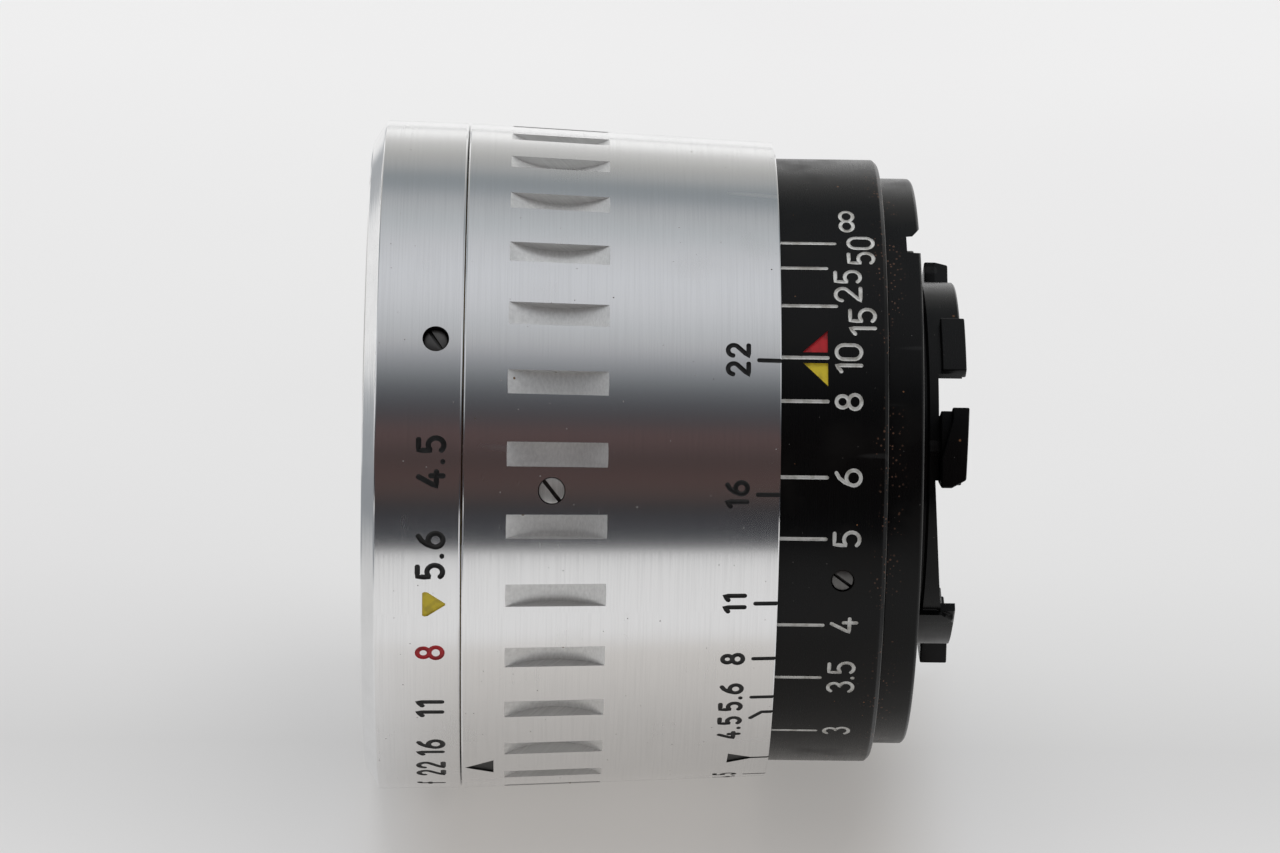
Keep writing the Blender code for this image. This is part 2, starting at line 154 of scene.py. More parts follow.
def turningLines(coordinates):
    # fine lathe lines that run round the ring, broken up along their length
    group, start, end = newGroup("turning lines", {"Lines per mm": 9.0, "Breakup": 2.0}, ["Lines"])
    ring = addNode(group, "ShaderNodeGroup", {"node_tree": coordinates})
    travel = math2(group, "ADD", ring.outputs["Along"], ring.outputs["Radius"])
    fine = times(group, travel, times(group, start.outputs["Lines per mm"], 1000.0))
    turn = times(group, ring.outputs["Round"], start.outputs["Breakup"])
    fineAt = addNode(group, "ShaderNodeCombineXYZ", None, {0: fine, 1: turn}).outputs[0]
    group.links.new(noise(group, fineAt, 1.0, 3.0, "2D", 0.65), end.inputs["Lines"])
    return group


def dustSpecks():
    # scattered specks of uneven size
    group, start, end = newGroup("dust specks", {"Cell mm": 0.9, "Size": 0.1, "Share": 0.3}, ["Mask"])
    place = objectPlace(group)
    scale = math2(group, "DIVIDE", 1000.0, start.outputs["Cell mm"])
    cells = addNode(group, "ShaderNodeTexVoronoi", None, {"Vector": place, "Scale": scale})
    parts = addNode(group, "ShaderNodeSeparateColor", None, {0: cells.outputs["Color"]})
    size = times(group, start.outputs["Size"], math2(group, "ADD", parts.outputs[1], 0.35))
    speck = math2(group, "LESS_THAN", cells.outputs["Distance"], size)
    chosen = math2(group, "LESS_THAN", parts.outputs[0], start.outputs["Share"])
    group.links.new(times(group, speck, chosen), end.inputs["Mask"])
    return group


def handlingMarks():
    # soft smears where fingers rub the metal, and a few hair scratches
    group, start, end = newGroup("handling marks", {"Smear mm": 6.0}, ["Smear", "Scratch"])
    place = objectPlace(group)
    scale = math2(group, "DIVIDE", 1000.0, start.outputs["Smear mm"])
    turned = addNode(group, "ShaderNodeMapping", None, {
        "Vector": place, "Rotation": (0.6, 0.35, 0.9), "Scale": (60.0, 900.0, 500.0),
    })
    hair = noise(group, turned.outputs[0], 1.0, 1.0)
    group.links.new(noise(group, place, scale, 4.0), end.inputs["Smear"])
    group.links.new(smooth(group, hair, 0.72, 0.76), end.inputs["Scratch"])
    return group


ringGroup = ringCoordinates()
linesGroup = turningLines(ringGroup)
dustGroup = dustSpecks()
marksGroup = handlingMarks()


def newMaterial(name, metallic, roughness):
    material = bpy.data.materials.new(name)
    material.use_nodes = True
    tree = material.node_tree
    shader = tree.nodes["Principled BSDF"]
    shader.inputs["Metallic"].default_value = metallic
    shader.inputs["Roughness"].default_value = roughness
    return material, tree, shader


def mixColour(tree, factor, a, b, blend="MIX"):
    settings = {"data_type": "RGBA", "blend_type": blend}
    return addNode(tree, "ShaderNodeMix", settings, {0: factor, 6: a, 7: b}).outputs[2]


def useGroup(tree, group, values=None):
    return addNode(tree, "ShaderNodeGroup", {"node_tree": group}, values)


satinSettings = {
    "colour": (0.87, 0.87, 0.87, 1), "lineColour": (0.835, 0.835, 0.835, 1), "roughness": 0.24,
    "speckColour": (0.10, 0.085, 0.07, 1), "smearColour": (0.80, 0.80, 0.79, 1),
    "dustColour": (0.30, 0.29, 0.28, 1),
}


def satinAluminium():
    use = satinSettings
    material, tree, shader = newMaterial("satinAluminium", 1.0, use["roughness"])
    shader.inputs["Anisotropic"].default_value = 0.85
    shader.inputs["Anisotropic Rotation"].default_value = 0.25
    tangent = addNode(tree, "ShaderNodeTangent", {"direction_type": "RADIAL", "axis": "X"})
    tree.links.new(tangent.outputs[0], shader.inputs["Tangent"])
    lines = useGroup(tree, linesGroup, {"Lines per mm": 8.0, "Breakup": 2.5})
    marks = useGroup(tree, marksGroup, {"Smear mm": 7.0})
    specks = useGroup(tree, dustGroup, {"Cell mm": 1.5, "Size": 0.035, "Share": 0.22})
    lineMask = smooth(tree, lines.outputs["Lines"], 0.38, 0.72)
    colour = mixColour(tree, lineMask, use["colour"], use["lineColour"])
    smear = smooth(tree, marks.outputs["Smear"], 0.55, 0.8)
    colour = mixColour(tree, times(tree, smear, 0.5), colour, use["smearColour"])
    colour = mixColour(tree, specks.outputs["Mask"], colour, use["speckColour"])
    dust = useGroup(tree, dustGroup, {"Cell mm": 0.62, "Size": 0.07, "Share": 0.30})
    colour = mixColour(tree, dust.outputs["Mask"], colour, use["dustColour"])
    tree.links.new(colour, shader.inputs["Base Color"])
    rough = math2(tree, "MULTIPLY_ADD", lineMask, 0.025)
    rough.node.inputs[2].default_value = use["roughness"]
    rough = math2(tree, "ADD", rough, times(tree, smear, 0.04))
    rough = math2(tree, "ADD", rough, times(tree, marks.outputs["Scratch"], 0.10))
    rough = math2(tree, "ADD", rough, times(tree, specks.outputs["Mask"], 0.4))
    tree.links.new(rough, shader.inputs["Roughness"])
    soiled = math2(tree, "MAXIMUM", specks.outputs["Mask"], dust.outputs["Mask"])
    tree.links.new(math2(tree, "SUBTRACT", 1.0, soiled), shader.inputs["Metallic"])
    addBump(tree, shader, lines.outputs["Lines"], 0.3, 0.0000012)
    return material


def milledAluminium():
    # the grip slots: bright, with cutter marks that run along each slot
    material, tree, shader = newMaterial("milledAluminium", 1.0, 0.36)
    lines = useGroup(tree, linesGroup, {"Lines per mm": 5.0, "Breakup": 60.0})
    dirt = useGroup(tree, dustGroup, {"Cell mm": 0.8, "Size": 0.12, "Share": 0.10})
    colour = mixColour(tree, lines.outputs["Lines"], (0.84, 0.84, 0.83, 1), (0.56, 0.56, 0.55, 1))
    colour = mixColour(tree, dirt.outputs["Mask"], colour, (0.16, 0.10, 0.05, 1))
    tree.links.new(colour, shader.inputs["Base Color"])
    bright = math2(tree, "SUBTRACT", 1.0, dirt.outputs["Mask"])
    tree.links.new(times(tree, bright, 0.55), shader.inputs["Metallic"])
    addBump(tree, shader, lines.outputs["Lines"], 0.5, 0.00001)
    return material


anodisedSettings = {
    "colour": (0.0025, 0.0025, 0.0026, 1), "worn": (0.006, 0.0055, 0.005, 1), "roughness": 0.23,
    "edge": (0.06, 0.058, 0.055, 1), "scratch": (0.03, 0.03, 0.03, 1), "dust": (0.20, 0.19, 0.18, 1),
    "rust": (0.11, 0.058, 0.038, 1), "crumbs": (0.16, 0.075, 0.035, 1),
}


def blackAnodised(name="blackAnodised", rustFrom=None, rustTo=None, highlitWornEdges=()):
    use = anodisedSettings
    material, tree, shader = newMaterial(name, 0.0, use["roughness"])
    shader.inputs["Specular IOR Level"].default_value = 0.18
    lines = useGroup(tree, linesGroup, {"Lines per mm": 6.0, "Breakup": 2.0})
    marks = useGroup(tree, marksGroup, {"Smear mm": 4.0})
    dust = useGroup(tree, dustGroup, {"Cell mm": 0.6, "Size": 0.055, "Share": 0.4})
    smear = smooth(tree, marks.outputs["Smear"], 0.45, 0.75)
    colour = mixColour(tree, times(tree, smear, 0.6), use["colour"], use["worn"])
    colour = mixColour(tree, times(tree, marks.outputs["Scratch"], 0.35), colour, use["scratch"])
    colour = mixColour(tree, times(tree, dust.outputs["Mask"], 0.45), colour, use["dust"])
    for radius, station in highlitWornEdges:
        # painted highlight and wear: a thin lighter line along the sharp rear edge of a ring, patchy like
        # metal rubbed through
        ring = useGroup(tree, ringGroup)
        away = math2(tree, "ABSOLUTE", math2(tree, "SUBTRACT", ring.outputs["Along"], station * mm))
        outside = math2(tree, "GREATER_THAN", ring.outputs["Radius"], (radius - 0.5) * mm)
        wornEdgeHighlight = times(tree, math2(tree, "LESS_THAN", away, 0.04 * mm), outside)
        wornEdgeHighlight = times(tree, wornEdgeHighlight, smooth(tree, marks.outputs["Smear"], 0.30, 0.55))
        colour = mixColour(tree, wornEdgeHighlight, colour, use["edge"])
    if rustFrom is not None:
        # dried brown dirt gathers where two rings meet
        ring = useGroup(tree, ringGroup)
        away = math2(tree, "ABSOLUTE", math2(tree, "SUBTRACT", ring.outputs["Along"], rustFrom * mm))
        near = math2(tree, "SUBTRACT", 1.0, smooth(tree, away, 0.0, rustTo * mm))
        grains = useGroup(tree, dustGroup, {"Cell mm": 0.26, "Size": 0.27, "Share": 0.50})
        patch = noise(tree, objectPlace(tree), 260.0, 3.0)
        amount = times(tree, grains.outputs["Mask"], smooth(tree, patch, 0.45, 0.56))
        amount = times(tree, amount, near)
        colour = mixColour(tree, amount, colour, use["rust"])
    crumbs = useGroup(tree, dustGroup, {"Cell mm": 1.2, "Size": 0.065, "Share": 0.14})
    colour = mixColour(tree, crumbs.outputs["Mask"], colour, use["crumbs"])
    tree.links.new(colour, shader.inputs["Base Color"])
    rough = math2(tree, "MULTIPLY_ADD", smear, 0.12)
    rough.node.inputs[2].default_value = use["roughness"]
    rough = math2(tree, "ADD", rough, times(tree, lines.outputs["Lines"], 0.08))
    tree.links.new(rough, shader.inputs["Roughness"])
    addBump(tree, shader, lines.outputs["Lines"], 0.3, 0.000008)
    return material


def engravedPaint(name, colour, shade):
    # paint that was wiped into an engraving and has shrunk and soiled unevenly
    material, tree, shader = newMaterial(name, 0.0, 0.5)
    patch = noise(tree, objectPlace(tree), 1500.0, 4.0)
    mask = smooth(tree, patch, 0.42, 0.68)
    tree.links.new(mixColour(tree, mask, colour, shade), shader.inputs["Base Color"])
    addBump(tree, shader, patch, 0.4, 0.00003)
    return material


def plainMetal(name, colour, dark, roughness, linesPerMm=6.0, metallic=1.0):
    material, tree, shader = newMaterial(name, metallic, roughness)
    lines = useGroup(tree, linesGroup, {"Lines per mm": linesPerMm, "Breakup": 3.0})
    marks = useGroup(tree, marksGroup, {"Smear mm": 2.5})
    mask = times(tree, lines.outputs["Lines"], smooth(tree, marks.outputs["Smear"], 0.3, 0.8))
    tree.links.new(mixColour(tree, mask, colour, dark), shader.inputs["Base Color"])
    addBump(tree, shader, lines.outputs["Lines"], 0.4, 0.00001)
    return material


def brightEdges(piece, radius):
    # the chamfers were turned with a sharper tool than the faces between them
    piece.data.materials.append(turnedEdge)
    slot = len(piece.data.materials) - 1
    for face in piece.data.polygons:
        away = math.hypot(face.center.y, face.center.z - axisZ)
        if face.material_index == 0 and abs(face.normal.x) > 0.3 and away > radius * mm:
            face.material_index = slot


def coatedGlass():
    material, tree, shader = newMaterial("coatedGlass", 0.0, 0.0)
    shader.inputs["Transmission Weight"].default_value = 1.0
    shader.inputs["IOR"].default_value = 1.62
    shader.inputs["Specular Tint"].default_value = (0.55, 0.42, 0.95, 1)
    marks = useGroup(tree, marksGroup, {"Smear mm": 9.0})
    haze = smooth(tree, marks.outputs["Smear"], 0.5, 0.85)
    colour = mixColour(tree, haze, (0.97, 0.98, 1.0, 1), (0.93, 0.95, 0.97, 1))
    tree.links.new(colour, shader.inputs["Base Color"])
    tree.links.new(times(tree, haze, 0.03), shader.inputs["Roughness"])
    return material


satin = satinAluminium()
milled = milledAluminium()
black = blackAnodised()
scaleEdge = (lens["distanceRadius"], lens["distanceEnd"] - 0.03)
seatEdge = (lens["mountRadius"], lens["mountFace"] - 0.03)
blackScale = blackAnodised("blackScaleRing", lens["distanceEnd"], 1.8, [scaleEdge])
blackSeat = blackAnodised("blackMountRing", lens["distanceEnd"] + 0.3, 1.5, [seatEdge])
blackPaint = engravedPaint("blackPaint", (0.004, 0.004, 0.004, 1), (0.010, 0.010, 0.010, 1))
whitePaint = engravedPaint("whitePaint", (0.62, 0.62, 0.60, 1), (0.42, 0.41, 0.38, 1))
redPaint = engravedPaint("redPaint", (0.42, 0.007, 0.013, 1), (0.26, 0.006, 0.010, 1))
yellowPaint = engravedPaint("yellowPaint", (0.62, 0.49, 0.028, 1), (0.44, 0.34, 0.025, 1))
turnedEdge = plainMetal("turnedEdge", (0.88, 0.88, 0.88, 1), (0.76, 0.76, 0.76, 1), 0.12, 2.5)
screwSteel = plainMetal("screwSteel", (0.62, 0.61, 0.59, 1), (0.22, 0.21, 0.20, 1), 0.30, 3.0, 0.55)
darkSteel = plainMetal("darkSteel", (0.16, 0.155, 0.15, 1), (0.05, 0.05, 0.05, 1), 0.4, 4.0)
brass = plainMetal("machinedBrass", (0.62, 0.46, 0.2, 1), (0.4, 0.28, 0.12, 1), 0.33)
bladeSteel = plainMetal("blackenedSteel", (0.05, 0.05, 0.055, 1), (0.02, 0.02, 0.022, 1), 0.42, 3.0)
glass = coatedGlass()
print("materials ready")


def finishPiece(piece, material, body, node):
    if material.name not in piece.data.materials:
        piece.data.materials.append(material)
    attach(piece, body)
    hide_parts(node)
    return piece


def newObject(name, mesh):
    piece = bpy.data.objects.new(name, mesh)
    bpy.context.scene.collection.objects.link(piece)
    return piece


def meshObject(name, shape, material=None, outward=True):
    if outward:
        bmesh.ops.recalc_face_normals(shape, faces=shape.faces)
    mesh = bpy.data.meshes.new(name)
    shape.to_mesh(mesh)
    shape.free()
    if material:
        mesh.materials.append(material)
    return newObject(name, mesh)


def skinRows(shape, pairs, sides):
    # faces between each pair of rows; a row with one point is a pole
    for first, second in pairs:
        if len(first) == 1 and len(second) == 1:
            continue
        for i in range(sides):
            j = (i + 1) % sides
            corners = [first[i % len(first)], first[j % len(first)]]
            corners += [second[j % len(second)], second[i % len(second)]]
            shape.faces.new(list(dict.fromkeys(corners)))


def turnRing(name, outline, sides=None, closed=True):
    # outline: (station, radius) points in mm. Points at radius 0 become a pole.
    sides = sides or lens["sides"]
    shape = bmesh.new()
    rows = []
    for station, radius in outline:
        if radius < 1e-6:
            rows.append([shape.verts.new(at(station, 0, 0))])
        else:
            rows.append([shape.verts.new(at(station, radius, 360 * i / sides)) for i in range(sides)])
    following = rows[1:] + rows[:1] if closed else rows[1:]
    skinRows(shape, zip(rows, following), sides)
    return meshObject(name, shape)


def fillStations(start, end, radiusAt, step=1.0):
    count = max(1, round((end - start) / step))
    stations = [start + (end - start) * i / count for i in range(count + 1)]
    return [(station, radiusAt(station)) for station in stations]


def cylinderCutter(name, matrices, radius, length, sides=64):
    shape = bmesh.new()
    for matrix in matrices:
        bmesh.ops.create_cone(shape, cap_ends=True, segments=sides, radius1=radius * mm, radius2=radius * mm,
                              depth=length * mm, matrix=matrix)
    return meshObject(name, shape, None, False)


def lugShape(name, start, stop, inner, outer, shapeAt, count=20):
    # a lug between two angles whose front and rear faces follow shapeAt
    shape = bmesh.new()
    rows = []
    for i in range(count + 1):
        front, rear = shapeAt(i / count)
        angle = start + (stop - start) * i / count
        corners = [(front, inner), (front, outer), (rear, outer), (rear, inner)]
        rows.append([shape.verts.new(at(s, r, angle)) for s, r in corners])
    for first, second in zip(rows, rows[1:]):
        for i in range(4):
            j = (i + 1) % 4
            shape.faces.new([first[i], first[j], second[j], second[i]])
    shape.faces.new(rows[0])
    shape.faces.new(rows[-1][::-1])
    return meshObject(name, shape)


def wedge(name, front, rear, inner, outer, start, stop, step=2):
    # a plain stretch of a ring between two angles
    count = max(2, round((stop - start) / step))
    return lugShape(name, start, stop, inner, outer, lambda share: (front, rear), count)


def joined(name, pieces):
    shape = bmesh.new()
    materials = []
    for piece in pieces:
        offset = {}
        for index, material in enumerate(piece.data.materials):
            if material not in materials:
                materials.append(material)
            offset[index] = materials.index(material)
        first = len(shape.faces)
        shape.from_mesh(piece.data)
        shape.faces.ensure_lookup_table()
        for face in shape.faces[first:]:
            face.material_index = offset.get(face.material_index, 0)
        bpy.data.objects.remove(piece)
    whole = meshObject(name, shape, None, False)
    for material in materials:
        whole.data.materials.append(material)
    return whole


def carve(piece, cutter, operation="DIFFERENCE", overlapping=False):
    change = piece.modifiers.new("carve", "BOOLEAN")
    change.operation = operation
    change.solver = "EXACT"
    change.object = cutter
    change.use_self = overlapping
    change.material_mode = "TRANSFER"
    bpy.context.view_layer.update()
    graph = bpy.context.evaluated_depsgraph_get()
    mesh = bpy.data.meshes.new_from_object(piece.evaluated_get(graph))
    piece.modifiers.clear()
    old = piece.data
    piece.data = mesh
    bpy.data.meshes.remove(old)
    bpy.data.objects.remove(cutter)


def soften(piece, width, angle=35):
    # small rounds on the edges of a piece that isn't turned
    change = piece.modifiers.new("soften", "BEVEL")
    change.width = width * mm
    change.segments = 2
    change.limit_method = "ANGLE"
    change.angle_limit = math.radians(angle)
    change.harden_normals = False
    bpy.context.view_layer.update()
    mesh = bpy.data.meshes.new_from_object(piece.evaluated_get(bpy.context.evaluated_depsgraph_get()))
    piece.modifiers.clear()
    piece.data = mesh


def trueNormals(piece, smoothAngle=24):
    # turned faces get the exact normals of the round they stand for, and cuts keep sharp edges
    mesh = piece.data
    mesh.shade_smooth()
    mesh.set_sharp_from_angle(angle=math.radians(smoothAngle))
    mesh.update()
    corner = [tuple(n.vector) for n in mesh.corner_normals]
    vertices = mesh.vertices
    tolerance = math.sin(math.pi / lens["sides"]) * 1.5
    for face in mesh.polygons:
        centre = face.center
        outward = Vector((0, centre.y, centre.z - axisZ))
        if outward.length < 1e-6:
            continue
        outward.normalize()
        round_ = Vector((0, -outward.z, outward.y))
        if abs(face.normal.dot(round_)) > tolerance or face.material_index > 0:
            continue
        along, out = face.normal.x, face.normal.dot(outward)
        for loop in face.loop_indices:
            place = vertices[mesh.loops[loop].vertex_index].co
            radial = Vector((0, place.y, place.z - axisZ))
            if radial.length < 1e-6:
                continue
            radial.normalize()
            corner[loop] = tuple((Vector((along, 0, 0)) + radial * out).normalized())
    mesh.normals_split_custom_set(corner)


def arcPoints(cx, cy, rx, ry, start, end, steps=14):
    points = []
    for i in range(steps + 1):
        a = math.radians(start + (end - start) * i / steps)
        points.append((cx + rx * math.cos(a), cy + ry * math.sin(a)))
    return points


# strokes of each figure in units of its height, x to the right and y up, and its width
figures = {
    "0": (0.56, [arcPoints(0.28, 0.70, 0.28, 0.30, 0, 180) + arcPoints(0.28, 0.30, 0.28, 0.30, 180, 360)
                 + [(0.56, 0.70)]]),
    "1": (0.24, [[(0.0, 0.80), (0.24, 1.0), (0.24, 0.0)]]),
    "2": (0.56, [arcPoints(0.28, 0.72, 0.27, 0.28, 175, -35) + [(0.0, 0.0), (0.57, 0.0)]]),
    "3": (0.54, [arcPoints(0.25, 0.76, 0.24, 0.24, 150, -80) + arcPoints(0.26, 0.27, 0.27, 0.27, 80, -150)]),
    "4": (0.60, [[(0.38, 1.0), (0.0, 0.28), (0.60, 0.28)], [(0.42, 0.52), (0.42, 0.0)]]),
    "5": (0.55, [[(0.50, 1.0), (0.07, 1.0), (0.04, 0.55)] + arcPoints(0.27, 0.31, 0.28, 0.31, 128, -140)]),
    "6": (0.56, [[(0.46, 0.98), (0.27, 0.86), (0.11, 0.64)]
                 + arcPoints(0.28, 0.29, 0.28, 0.29, 150, 510, 22)]),
    "8": (0.54, [arcPoints(0.27, 0.76, 0.22, 0.24, -90, 270, 20),
                 arcPoints(0.27, 0.26, 0.27, 0.26, -90, 270, 20)]),
    ".": (0.0, [[(0.0, 0.02), (0.0, 0.05)]]),
    "f": (0.32, [arcPoints(0.30, 0.82, 0.15, 0.18, 60, 180) + [(0.15, 0.0)], [(0.0, 0.56), (0.32, 0.56)]]),
    "infinity": (2.0, [arcPoints(0.5, 0.5, 0.5, 0.40, 0, 360, 26),
                       arcPoints(1.5, 0.5, 0.5, 0.40, 180, 540, 26)]),
}


def placeText(text, station, height, angle, radiusAt, widen=1.0, gap=0.38):
    # the figures read upwards round the ring, and their tops point to the front
    marks = [text] if text in figures else list(text)
    width = sum(figures[mark][0] * widen for mark in marks) + gap * (len(marks) - 1)
    paths, pen = [], -width / 2
    for mark in marks:
        advance, strokes = figures[mark]
        for stroke in strokes:
            path = []
            for x, y in stroke:
                s = station - y * height
                radius = radiusAt(s)
                path.append((s, angle - math.degrees((pen + x * widen) * height / radius)))
            paths.append(path)
        pen += advance * widen + gap
    return paths


def densePath(path, radiusAt, step=0.3):
    points = []
    for (s0, a0), (s1, a1) in zip(path, path[1:]):
        reach = math.hypot(s1 - s0, math.radians(a1 - a0) * radiusAt(s0))
        count = max(1, math.ceil(reach / step))
        points += [(s0 + (s1 - s0) * i / count, a0 + (a1 - a0) * i / count) for i in range(count)]
    return points + [path[-1]]


def engraver(name, paths, radiusAt, strokeWidth, material, depth=0.10):
    # a round-nosed cutter that follows each path just under the surface
    half = strokeWidth / 2
    noseRadius = (half ** 2 + depth ** 2) / (2 * depth)
    lift = noseRadius - depth
    curve = bpy.data.curves.new(name, "CURVE")
    curve.dimensions = "3D"
    curve.bevel_depth = noseRadius * mm
    curve.bevel_resolution = 4
    curve.use_fill_caps = True
    for path in paths:
        dense = densePath(path, radiusAt)
        spots = [at(s, radiusAt(s) + lift, a) for s, a in dense]
        heads = []
        for end, before in ((spots[0], spots[1]), (spots[-1], spots[-2])):
            direction = (end - before).normalized()
            turns = (1.35, 1.0, 0.6)
            heads.append([(end + direction * (half * mm * math.sin(t)), math.cos(t)) for t in turns])
        run = heads[0] + [(spot, 1.0) for spot in spots] + heads[1][::-1]
        line = curve.splines.new("POLY")
        line.points.add(len(run) - 1)
        for point, (spot, size) in zip(line.points, run):
            point.co = (*spot, 1)
            point.radius = max(size, 0.25)
    guide = newObject(name, curve)
    bpy.context.view_layer.update()
    mesh = bpy.data.meshes.new_from_object(guide.evaluated_get(bpy.context.evaluated_depsgraph_get()))
    bpy.data.objects.remove(guide)
    shape = bmesh.new()
    shape.from_mesh(mesh)
    bmesh.ops.remove_doubles(shape, verts=shape.verts, dist=1e-7)
    bmesh.ops.recalc_face_normals(shape, faces=shape.faces)
    shape.to_mesh(mesh)
    shape.free()
    mesh.materials.clear()
    mesh.materials.append(material)
    return newObject(name, mesh)


def pocket(name, corners, radiusAt, material, depth=0.12):
    # a flat-bottomed pocket with straight sides, from (station, angle) corners
    shape = bmesh.new()
    top = [shape.verts.new(at(s, radiusAt(s) + 0.4, a)) for s, a in corners]
    floor = [shape.verts.new(at(s, radiusAt(s) - depth, a)) for s, a in corners]
    count = len(corners)
    shape.faces.new(top)
    shape.faces.new(floor[::-1])
    for i in range(count):
        j = (i + 1) % count
        shape.faces.new([top[j], top[i], floor[i], floor[j]])
    return meshObject(name, shape, material)


def slottedScrew(name, matrix, radius, length, slotTurn, material, body, node):
    # a cheese-headed set screw; the matrix stands at the middle of its face
    shape = bmesh.new()
    rows = []
    outline = [(0, 0), (radius * 0.9, 0), (radius * 0.97, -0.03), (radius, -0.10), (radius, -length),
               (0, -length)]
    sides = 56
    turns = [2 * math.pi * i / sides for i in range(sides)]
    for r, z in outline:
        if r == 0:
            spots = [(0, 0, z * mm)]
        else:
            spots = [(r * mm * math.cos(turn), r * mm * math.sin(turn), z * mm) for turn in turns]
        rows.append([shape.verts.new(matrix @ Vector(spot)) for spot in spots])
    skinRows(shape, zip(rows, rows[1:]), sides)
    piece = meshObject(name, shape, material)
    cutter = bmesh.new()
    size = Matrix.Diagonal((radius * 3 * mm, radius * 0.30 * mm, 0.9 * mm, 1))
    slotPlace = matrix @ Matrix.Rotation(math.radians(slotTurn), 4, "Z") @ size
    bmesh.ops.create_cube(cutter, size=1, matrix=slotPlace)
    carve(piece, meshObject(name + "Slot", cutter, darkSteel, False))
    piece.data.shade_smooth()
    piece.data.set_sharp_from_angle(angle=math.radians(32))
    return finishPiece(piece, material, body, node)


def drillHoles(ring, use, middle, clearance):
    # three holes for a ring's set screws
    places = [use["screwAngle"] + 120 * i for i in range(3)]
    spots = [spotMatrix(use["screwStation"], middle, angle) for angle in places]
    holes = cylinderCutter("holes", spots, use["screwRadius"] + clearance, 6)
    holes.data.materials.append(darkSteel)
    carve(ring, holes)
    return places


apertureRing = {
    "screwAngle": -19.25, "screwStation": 5.58, "screwRadius": 0.92, "screwTurn": -56,
    "figureBase": 6.34, "figureHeight": 1.93, "stroke": 0.45, "redStroke": 0.39,
    "figures": [("4.5", 1.2), ("5.6", 16.7), ("11", 47.2), ("16", 58.7), ("22", 67.5), ("f", 76.6)],
    "redFigure": ("8", 34.5),
    "triangle": [(4.95, 22.95), (4.78, 23.15), (4.78, 27.25), (4.95, 27.45), (5.2, 27.35), (6.55, 25.35),
                 (6.55, 25.05), (5.2, 23.05)],
}


def ringRadius(station):
    return lens["barrelFrontRadius"] + 0.15 * (lens["seam"] - station) / (lens["seam"] - 1.07)


def makeApertureRing():
    use = apertureRing
    outline = [(0.10, 25.45), (0.02, 25.36), (0.0, 25.25), (0.0, 24.55), (0.25, 24.3)]
    thread, pitch = [], 0.75
    for i in range(5):
        s = 0.6 + i * pitch
        thread += [(s, 24.12), (s + 0.1, 24.12), (s + pitch / 2, 24.42)]
    outline += thread + [(4.6, 24.12), (7.66, 24.12), (7.66, 26.72)]
    outline += [(7.60, 26.80), (7.52, ringRadius(7.52))]
    outline += fillStations(1.12, 7.4, ringRadius, 0.8)[::-1]
    outline += [(1.04, 26.94), (0.98, 26.86)]
    ring = turnRing("apertureRing", outline)
    ring.data.materials.append(satin)
    places = drillHoles(ring, use, 25.5, 0.10)
    paths = []
    for text, angle in use["figures"]:
        paths += placeText(text, use["figureBase"], use["figureHeight"], angle, ringRadius)
    text, angle = use["redFigure"]
    red = placeText(text, use["figureBase"], use["figureHeight"], angle, ringRadius)
    carve(ring, engraver("apertureFigures", paths, ringRadius, use["stroke"], blackPaint), overlapping=True)
    carve(ring, engraver("redFigure", red, ringRadius, use["redStroke"], redPaint), overlapping=True)
    carve(ring, pocket("yellowMark", use["triangle"], ringRadius, yellowPaint))
    trueNormals(ring)
    brightEdges(ring, 25.3)
    finishPiece(ring, satin, "aperture_group", "aperture_ring")
    for number, angle in enumerate(places, 1):
        place = spotMatrix(use["screwStation"], 26.45, angle)
        slottedScrew(f"apertureScrew{number}", place, use["screwRadius"], 2.4, use["screwTurn"], darkSteel,
                     "aperture_group", f"aperture_ring_screw_{number}")
    print("aperture ring done")


focusBarrel = {
    "slots": 30, "slotStation": 15.36, "slotWidth": 1.88, "slotDepth": 0.95, "cutterRadius": 8.35,
    "slotShift": -0.3,
    "screwAngle": 5.7, "screwStation": 14.58, "screwRadius": 1.0, "screwTurn": -51,
    "figureBase": 29.54, "figureHeight": 1.58, "stroke": 0.39,
    "lineStart": 30.33, "lineWidth": 0.36,
    # the two index marks: angle, half widths and the stations of their corners
    "index": 66.9, "indexHalf": 1.03, "indexThin": 0.14, "indexStations": (28.8, 28.75, 30.62, 32.4),
    "frontIndex": 67, "frontIndexHalf": 1.4, "frontIndexStations": (10.3, 8.05),
    "figures": [("22", -17.1), ("16", 6.1), ("11", 25.6), ("8", 36.9), ("5.6", 46.2), ("4.5", 55.0)],
    "lines": [-17.1, 6.1, 25.6, 36.9, 46.1],
    "bentLine": [(30.34, 51.9), (31.2, 50.2), (32.6, 50.2)],
    "mirrored": [79.0, 87.7, 96.9, 108.3, 127.7, 150.9],
    "mirroredFigures": [("4.5", 80.6), ("5.6", 88.9), ("8", 96.9), ("11", 108.3), ("16", 127.7),
                        ("22", 150.9)],
}


